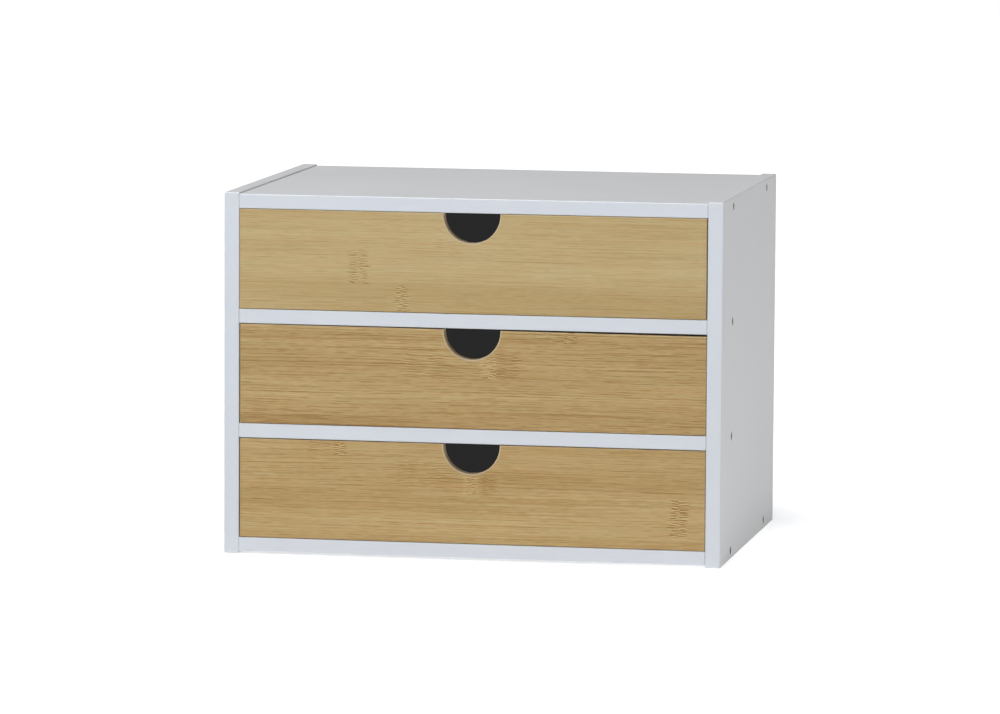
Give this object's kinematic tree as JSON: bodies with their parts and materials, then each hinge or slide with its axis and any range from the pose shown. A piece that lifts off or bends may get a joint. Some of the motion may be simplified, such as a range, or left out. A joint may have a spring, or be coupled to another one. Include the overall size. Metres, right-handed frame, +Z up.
{
  "type": "desktop mini drawers",
  "caption": "White desktop case with flush bamboo-fronted drawers that slide on shelves and pull out by half-round finger notches, for crafts and small parts.",
  "frame": {"origin": "on the table, under the middle of the case's footprint", "axes": "+X to the user's right across the drawer fronts, -Y out of the front, the way the drawers open, +Z up"},
  "size_m": [0.35, 0.255, 0.2525],
  "materials": {
    "white_paint": "satin white paint on fibreboard",
    "white_board": "white-faced thin fibreboard",
    "bamboo": "clear-lacquered bamboo with horizontal fibres and nodes",
    "black_board": "matte black-faced fibreboard",
    "zinc": "zinc-plated steel",
    "beech": "plain turned hardwood"
  },
  "bodies": {
    "case": {"left_side_panel": "white_paint", "right_side_panel": "white_paint", "top_panel": "white_paint", "bottom_panel": "white_paint", "upper_shelf": "white_paint", "lower_shelf": "white_paint", "back_panel": "white_board", "left_side_screws": "zinc", "right_side_screws": "zinc", "shelf_dowels": "beech"},
    "top_drawer": {"top_drawer_front": "bamboo", "top_drawer_left_side": "black_board", "top_drawer_right_side": "black_board", "top_drawer_back": "black_board", "top_drawer_bottom": "black_board", "top_drawer_pins": "beech", "top_drawer_brads": "zinc"},
    "middle_drawer": {"middle_drawer_front": "bamboo", "middle_drawer_left_side": "black_board", "middle_drawer_right_side": "black_board", "middle_drawer_back": "black_board", "middle_drawer_bottom": "black_board", "middle_drawer_pins": "beech", "middle_drawer_brads": "zinc"},
    "bottom_drawer": {"bottom_drawer_front": "bamboo", "bottom_drawer_left_side": "black_board", "bottom_drawer_right_side": "black_board", "bottom_drawer_back": "black_board", "bottom_drawer_bottom": "black_board", "bottom_drawer_pins": "beech", "bottom_drawer_brads": "zinc"}
  },
  "joints": [
    {"name": "top_drawer_slide", "type": "slide", "parent": "case", "child": "top_drawer", "axis": [0, -1, 0], "range_m": [0, 0.2]},
    {"name": "middle_drawer_slide", "type": "slide", "parent": "case", "child": "middle_drawer", "axis": [0, -1, 0], "range_m": [0, 0.2]},
    {"name": "bottom_drawer_slide", "type": "slide", "parent": "case", "child": "bottom_drawer", "axis": [0, -1, 0], "range_m": [0, 0.2]}
  ]
}
